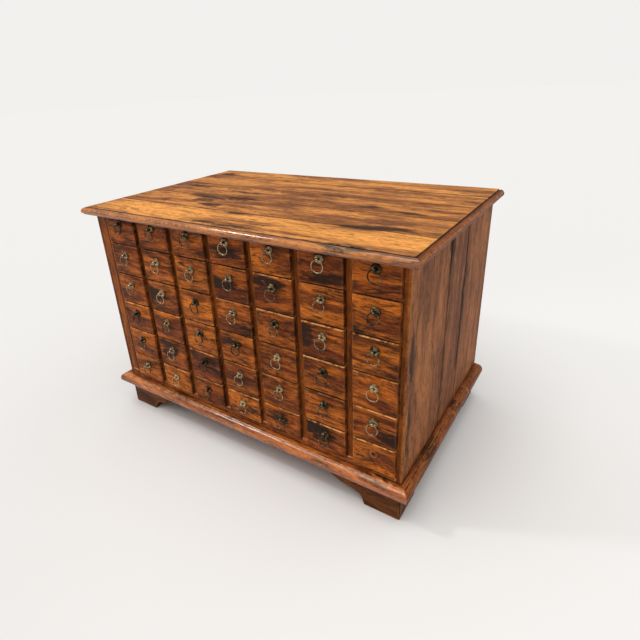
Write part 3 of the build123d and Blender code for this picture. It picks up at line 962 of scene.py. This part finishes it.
for name, face_y, inward, node, seed in (
    ("front_bracket_feet", FRONT_FOOT_PLANE, 1, "front_feet", 201),
    ("rear_bracket_feet", REAR_FOOT_PLANE, -1, "rear_feet", 211),
):
    shape = Shape()
    for index, (x, side) in enumerate(((LEFT_FACE, 1), (RIGHT_FACE, -1))):
        add_bracket(
            shape, foot_outline(0.0),
            lambda along, deep, up: (x + side * along, face_y + inward * deep, up),
            seed + index, 0.5,
        )
        add_bracket(
            shape, foot_outline(BRACKET),
            lambda along, deep, up: (x + side * deep, face_y + inward * along, up),
            seed + 5 + index, 0.45,
        )
    shape.make(name, [foot_wood], [node])

shape = Shape()
front, rear = FRONT_FOOT_PLANE + BRACKET, REAR_FOOT_PLANE - BRACKET_AND_BLOCK
left, right = LEFT_FACE + BRACKET, RIGHT_FACE - BRACKET_AND_BLOCK
for x, y, seed in ((left, front, 181), (left, rear, 185), (right, front, 253), (right, rear, 257)):
    far = (x + GLUE_BLOCK, y + GLUE_BLOCK, FOOT_TOP)
    add_board(shape, (x, y, BLOCK_UNDERSIDE), far, seed, 0.4)
shape.make("glue_blocks", [inner_wood], ["foot_corner_blocks"])

# ---------------------------------------------------------------- drawers
# Tone of each front by row and column; the top row is darker, partly painted shade under the top's
# overhang
FRONT_TONES = (
    (0.22, 0.35, 0.42, 0.25, 0.55, 0.24, 0.34),
    (0.42, 0.50, 0.62, 0.40, 0.34, 0.58, 0.52),
    (0.44, 0.48, 0.66, 0.47, 0.47, 0.52, 0.66),
    (0.54, 0.44, 0.60, 0.46, 0.45, 0.58, 0.46),
    (0.46, 0.32, 0.38, 0.57, 0.46, 0.50, 0.44),
    (0.55, 0.60, 0.30, 0.58, 0.35, 0.36, 0.52),
)
# Dark clouds on the fronts: row, column, place across and up, reach across and up, depth
FRONT_SMOKE = (
    (1, 4, 0.5, 0.45, 0.7, 0.25, 0.7),
    (1, 6, 0.6, 0.2, 0.7, 0.2, 0.9),
    (2, 4, 0.35, 0.45, 0.6, 0.25, 1.0),
    (2, 5, 0.4, 0.78, 0.8, 0.3, 1.0),
    (2, 6, 0.7, 0.9, 0.7, 0.25, 0.9),
    (2, 7, 0.4, 0.1, 0.7, 0.2, 0.7),
    (3, 2, 0.25, 0.6, 0.4, 0.22, 1.0),
    (3, 4, 0.9, 0.3, 0.3, 0.4, 0.8),
    (3, 6, 0.1, 0.6, 0.2, 0.5, 0.9),
    (4, 4, 0.2, 0.75, 0.4, 0.25, 0.8),
    (5, 2, 0.4, 0.45, 0.4, 0.45, 1.0),
    (5, 7, 0.85, 0.3, 0.4, 0.35, 1.0),
    (5, 3, 0.6, 0.6, 0.6, 0.4, 0.6),
    (6, 4, 0.8, 0.4, 0.35, 0.3, 0.8),
    (6, 5, 0.3, 0.6, 0.5, 0.3, 0.7),
    (6, 6, 0.3, 0.7, 0.5, 0.4, 0.8),
)
# How bright the top arris of a front is, where it differs from the rest, by row and column: wear,
# and a painted highlight where light falls from above
TOP_ARRIS_WEAR_AND_SHEEN = 0.3
BRIGHT_ARRISES = {
    (4, 1): 1.2, (5, 1): 0.8, (6, 2): 0.9, (4, 2): 0.8, (5, 3): 0.8, (6, 3): 0.6,
    (3, 5): 0.9, (4, 6): 1.2, (6, 6): 1.3, (3, 7): 1.2, (4, 7): 0.5, (5, 7): 1.2,
    (6, 7): 1.2, (2, 5): 0.7, (3, 4): 0.6, (3, 6): 1.0, (6, 4): 1.0, (6, 5): 0.7,
}


def add_front(shape, row, column):
    """Front board, a little short, askew and hollow, each in its own way."""
    dice = random.Random(1000 + 10 * row + column)
    low_z, high_z = front_heights(row)
    low = Vector((bay_left(column) - SIDE_LAP, FRONT_PLANE, low_z))
    high = Vector((bay_right(column) + SIDE_LAP, FRONT_BACK, high_z))
    span = high - low
    patches = []
    for at_row, at_column, across, up, reach, rise_up, depth in FRONT_SMOKE:
        if (at_row, at_column) == (row, column):
            middle = (low.x + across * span.x, 0, low.z + up * span.z)
            patches.append((middle, (reach * span.x, 0, rise_up * span.z), depth))
    trim = [dice.uniform(0, 0.0007) for _ in range(4)]
    # The top arris is brighter than the others: wear and a painted highlight where light falls
    # from above. The sides and bottom of each front are darker, painted shade in the gaps, and a
    # broken dark band along the arrises is painted shade and grime
    top_rub_and_sheen = BRIGHT_ARRISES.get((row, column), TOP_ARRIS_WEAR_AND_SHEEN)
    add_board(
        shape, low + Vector((trim[0], 0, trim[1])), high - Vector((trim[2], 0, trim[3])),
        300 + 10 * row + column, FRONT_TONES[row - 1][column - 1], arris=0.0012, wear=0.0032,
        step=0.0075, chip=0.4, patches=patches, shade_and_grime=0.7,
        shaded_faces=[(0, -1), (0, 1), (2, -1)], shade_depth=0.42,
        rub_and_sheen={(2, 1): top_rub_and_sheen, (2, -1): 0.1, (0, -1): 0.2, (0, 1): 0.15},
    )
    askew = dice.uniform(-0.0002, 0.0012)
    for point in shape.points:
        if point.y < FRONT_BACK - 0.003:
            sway = (point.x - low.x) / span.x - 0.5
            point.y -= 0.5 * askew * sway
            if point.y < FRONT_PLANE + 0.0002:
                spot = (point.x * 2, 0, point.z * 2 + row + column)
                point.y += 0.0005 * lumps(spot, WARP_LUMPS)


def add_box(shape, row, column):
    """Two sides, back and bottom behind a front."""
    left, right = bay_left(column) + BOX_GAP, bay_right(column) - BOX_GAP
    low, rim = bay_bottom(row) + BOX_FLOOR_GAP, bay_top(row) - BOX_RIM_GAP
    far = BACK_INNER - BOX_REAR_GAP
    near, inner_far = FRONT_BACK, far - BOX_WALL
    inner_left, inner_right = left + BOX_WALL, right - BOX_WALL
    for index, corners in enumerate((
        ((left, near, low), (inner_left, far, rim)),
        ((inner_right, near, low), (right, far, rim)),
        ((inner_left, inner_far, low), (inner_right, far, rim)),
        ((inner_left, near, low), (inner_right, inner_far, low + BOX_BOTTOM)),
    )):
        seed = 700 + 10 * row + column + 70 * index
        add_board(shape, *corners, seed, arris=0.0005, wear=0.003, step=0.05, finish=1)


for row in range(1, ROWS + 1):
    for column in range(1, COLUMNS + 1):
        shape = Shape()
        add_front(shape, row, column)
        add_box(shape, row, column)
        hole = None
        if (row, column) == LOST_PULL:
            turned = Matrix.Translation(LOST_PULL_PLACE) @ Matrix.Rotation(math.pi / 2, 4, "X")
            hole = (turned, SHANK_RADIUS, LOST_HOLE_DEPTH)
        shape.make(
            f"drawer_{row}_{column}", [drawer_wood, inner_wood],
            [f"drawer_row{row}_col{column}"], f"drawer_r{row}c{column}", hole,
        )


# ---------------------------------------------------------------- ring pulls
def lathe(outline, turns):
    """Mesh turned about the Y axis from (radius, y) points, closed at both ends."""
    mesh = bmesh.new()
    rings = []
    for radius, y in outline:
        if radius < 1e-6:
            rings.append([mesh.verts.new((0, y, 0))])
            continue
        angles = [math.tau * n / turns for n in range(turns)]
        places = [(radius * math.cos(angle), y, radius * math.sin(angle)) for angle in angles]
        rings.append([mesh.verts.new(place) for place in places])
    for near, far in zip(rings, rings[1:]):
        for n in range(turns):
            m = (n + 1) % turns
            kept = []
            for ring, at in ((near, n), (near, m), (far, m), (far, n)):
                vertex = ring[at % len(ring)]
                if vertex not in kept:
                    kept.append(vertex)
            if len(kept) > 2:
                mesh.faces.new(kept)
    bmesh.ops.recalc_face_normals(mesh, faces=mesh.faces)
    return mesh


def pull_hardware():
    """Rosette and split pin with its pierced ball eye, centred on the shank."""
    rim = (ROSETTE_RADIUS, -0.001)
    dome = arc(rim, (0.0062, -0.0038), (0.0026, -DOME_HEIGHT), 9)
    disc = [(0, 0.0), (0.0098, 0.0), (ROSETTE_RADIUS, -0.0003), rim]
    joined = lathe(disc + dome + [(0.0018, -0.0049), (0, -0.0049)], 28)
    neck, tip = (SHANK_RADIUS, -DOME_HEIGHT), -EYE_OUT - EYE_RADIUS
    ball = arc(neck, (EYE_RADIUS, -EYE_OUT), (0.00001, tip), 9)
    pin = lathe([(0, PIN_END), (SHANK_RADIUS, PIN_END), neck] + ball[:-1] + [(0, tip)], 20)
    mesh = bpy.data.meshes.new("pin")
    pin.to_mesh(mesh)
    pin.free()
    across = Matrix.Translation((0, -EYE_OUT, 0)) @ Matrix.Rotation(math.pi / 2, 4, "Y")
    joined.from_mesh(drilled(mesh, across, EYE_BORE, 0.02))
    # Bar of the pin across the inside of the front
    for vertex in bmesh.ops.create_cube(joined, size=1.0)["verts"]:
        x, y, z = vertex.co
        vertex.co = Vector((x * 0.003, 0.0102 + y * 0.0012, z * 0.012))
    result = bpy.data.meshes.new("pull_hardware")
    joined.to_mesh(result)
    joined.free()
    return result


PULL_INPUTS = (
    ("Hardware", "Geometry", None),
    ("Place", "Vector", (0, 0, 0)),
    ("Turn", "Float", 0.0),
    ("Swing", "Float", 0.0),
    ("Ring radius", "Float", RING_RADIUS),
    ("Wire radius", "Float", WIRE_RADIUS),
    ("Eye out", "Float", EYE_OUT),
    ("With hardware", "Bool", True),
    ("With ring", "Bool", True),
    ("Metal", "Material", None),
)


def pull_tree():
    """Geometry tree that puts the hardware in place and hangs a wire ring from its eye.

    Returns the tree and the identifier of each of its inputs.
    """
    tree = bpy.data.node_groups.new("ring_pull", "GeometryNodeTree")
    identifiers = {}
    for label, kind, value in PULL_INPUTS:
        item = tree.interface.new_socket(label, in_out="INPUT", socket_type="NodeSocket" + kind)
        if value is not None:
            item.default_value = value
        identifiers[label] = item.identifier
    tree.interface.new_socket("Pull", in_out="OUTPUT", socket_type="NodeSocketGeometry")
    mix = Recipe(tree)
    given = mix.node("NodeGroupInput", {}).outputs

    def circle(resolution, radius):
        inputs = {"Resolution": resolution, "Radius": radius}
        return mix.made("GeometryNodeCurvePrimitiveCircle", inputs)

    def moved(geometry, **changes):
        return mix.made("GeometryNodeTransform", {"Geometry": geometry, **changes})

    def wanted(switch, geometry):
        return mix.made("GeometryNodeSwitch", {"Switch": switch, "True": geometry})

    hoop, wire = circle(40, given["Ring radius"]), circle(10, given["Wire radius"])
    ring = mix.made("GeometryNodeCurveToMesh", {"Curve": hoop, "Profile Curve": wire})
    below = mix.vector(0.0, 0.0, mix.times(given["Ring radius"], -1.0))
    ring = moved(ring, Rotation=(math.pi / 2, 0, 0), Translation=below)
    ahead = mix.vector(0.0, mix.times(given["Eye out"], -1.0), 0.0)
    ring = moved(ring, Rotation=mix.vector(given["Swing"], 0.0, 0.0), Translation=ahead)
    ring = wanted(given["With ring"], ring)
    fixed = wanted(given["With hardware"], given["Hardware"])
    fixed = moved(fixed, Rotation=mix.vector(0.0, given["Turn"], 0.0))
    together = mix.node("GeometryNodeJoinGeometry", {})
    for part in (fixed, ring):
        mix.feed(together.inputs[0], part)
    pull = moved(together.outputs[0], Translation=given["Place"])
    pull = mix.made("GeometryNodeSetShadeSmooth", {0: pull})
    pull = mix.made("GeometryNodeRealizeInstances", {0: pull})
    pull = mix.made("GeometryNodeSetMaterial", {"Geometry": pull, "Material": given["Metal"]})
    mix.node("NodeGroupOutput", {0: pull})
    return tree, identifiers


hardware = pull_hardware()
tree, sockets = pull_tree()


def make_pull(name, body, place, with_hardware, with_ring, turn=0.0, swing=0.0, nodes=()):
    """One finished pull, made by the tree and kept as a plain mesh."""
    carrier = show("carrier", hardware.copy())
    modifier = carrier.modifiers.new("pull", "NODES")
    modifier.node_group = tree
    for label, value in (
        ("Place", tuple(place)),
        ("Turn", turn),
        ("Swing", swing),
        ("With hardware", with_hardware),
        ("With ring", with_ring),
        ("Metal", pull_brass),
    ):
        modifier[sockets[label]] = value
    graph = bpy.context.evaluated_depsgraph_get()
    mesh = bpy.data.meshes.new_from_object(carrier.evaluated_get(graph))
    bpy.data.objects.remove(carrier)
    finish_piece(name, mesh, body, nodes, 60)


for row in range(1, ROWS + 1):
    for column in range(1, COLUMNS + 1):
        if (row, column) == LOST_PULL:
            continue
        dice = random.Random(2000 + 10 * row + column)
        turn, swing = dice.uniform(-0.06, 0.06), dice.uniform(-0.02, 0.02)
        place, loose = pull_centre(row, column), column == COLUMNS
        make_pull(
            f"pull_{row}_{column}", f"drawer_r{row}c{column}", place, True, not loose, turn, swing
        )
        if loose:
            make_pull(
                f"loose_ring_{row}", f"ring_r{row}c7", place, False, True,
                nodes=[f"ring_row{row}_col7"],
            )

# ---------------------------------------------------------------- floor, light and camera
floor = bpy.data.meshes.new("floor")
floor.from_pydata([(-30, -30, 0), (30, -30, 0), (30, 30, 0), (-30, 30, 0)], [], [(0, 1, 2, 3)])
floor_paint = bpy.data.materials.new("pale_floor")
floor_paint.use_nodes = True
floor_shader = floor_paint.node_tree.nodes["Principled BSDF"]
floor_shader.inputs["Base Color"].default_value = (0.83, 0.825, 0.82, 1)
floor_shader.inputs["Roughness"].default_value = 0.75
floor_shader.inputs["Specular IOR Level"].default_value = 0.0
floor.materials.append(floor_paint)
floor_piece = show("floor", floor)

# Pale room, brighter overhead. The camera sees an even backdrop in its place
world = bpy.data.worlds.new("studio")
bpy.context.scene.world = world
world.use_nodes = True
sky = Recipe(world.node_tree)
air = world.node_tree.nodes["Background"]
height = sky.split(sky.node("ShaderNodeTexCoord", {}).outputs["Generated"])["Z"]
sky.feed(air.inputs[0], (0.985, 0.975, 0.96))
sky.feed(air.inputs[1], sky.made("ShaderNodeMapRange", {0: height, 3: 0.24, 4: 1.02}))
backdrop = sky.made("ShaderNodeBackground", {0: (0.889, 0.876, 0.858), 1: 1.0})
seen = sky.node("ShaderNodeLightPath", {}).outputs["Is Camera Ray"]
either = sky.made("ShaderNodeMixShader", {0: seen, 1: air.outputs[0], 2: backdrop})
sky.feed(world.node_tree.nodes["World Output"].inputs[0], either)


def aim(lamp, direction):
    """Turn a lamp so that it shines in a direction."""
    lamp.rotation_euler = direction.to_track_quat("-Z", "Y").to_euler()


sun = bpy.data.lights.new("high_window", "SUN")
sun.energy = 1.10
sun.angle = math.radians(50)
sun.color = (1.0, 0.985, 0.96)
aim(show("high_window", sun), Vector((0.02, 0.28, -1.0)))

spot = bpy.data.lights.new("front_left_lamp", "SPOT")
spot.energy = 45
spot.shadow_soft_size = 0.12
spot.spot_size = math.radians(42)
spot.spot_blend = 1.0
spot.color = (1.0, 0.98, 0.96)
spot_item = show("front_left_lamp", spot)
spot_item.location = (-1.36, -1.05, 2.05)
aim(spot_item, Vector((0.06, -0.20, 0.5)) - spot_item.location)

# Camera fitted to the photo
FOCAL_PIXELS, CENTRE_X, CENTRE_Y, FRAME_PIXELS, SENSOR = 477.04, 299.79, 297.65, 640, 36.0
CAMERA_PLACE = (0.66088, -0.91271, 0.82222)
CAMERA_RIGHT = Vector((0.83017, 0.555259, -0.050055))
CAMERA_DOWN = Vector((0.191054, -0.367689, -0.910112))
CAMERA_FORWARD = Vector((-0.523752, 0.745984, -0.411328))
camera_data = bpy.data.cameras.new("camera")
camera_data.sensor_width = SENSOR
camera_data.lens = SENSOR * FOCAL_PIXELS / FRAME_PIXELS
camera_data.shift_x = (FRAME_PIXELS / 2 - CENTRE_X) / FRAME_PIXELS
camera_data.shift_y = (CENTRE_Y - FRAME_PIXELS / 2) / FRAME_PIXELS
camera_data.clip_start = 0.05
camera = show("camera", camera_data)
turn = Matrix((CAMERA_RIGHT, -CAMERA_DOWN, -CAMERA_FORWARD)).transposed()
camera.matrix_world = Matrix.Translation(CAMERA_PLACE) @ turn.to_4x4()
bpy.context.scene.camera = camera

bpy.context.scene.view_settings.view_transform = "Standard"
bpy.context.scene.view_settings.look = "None"
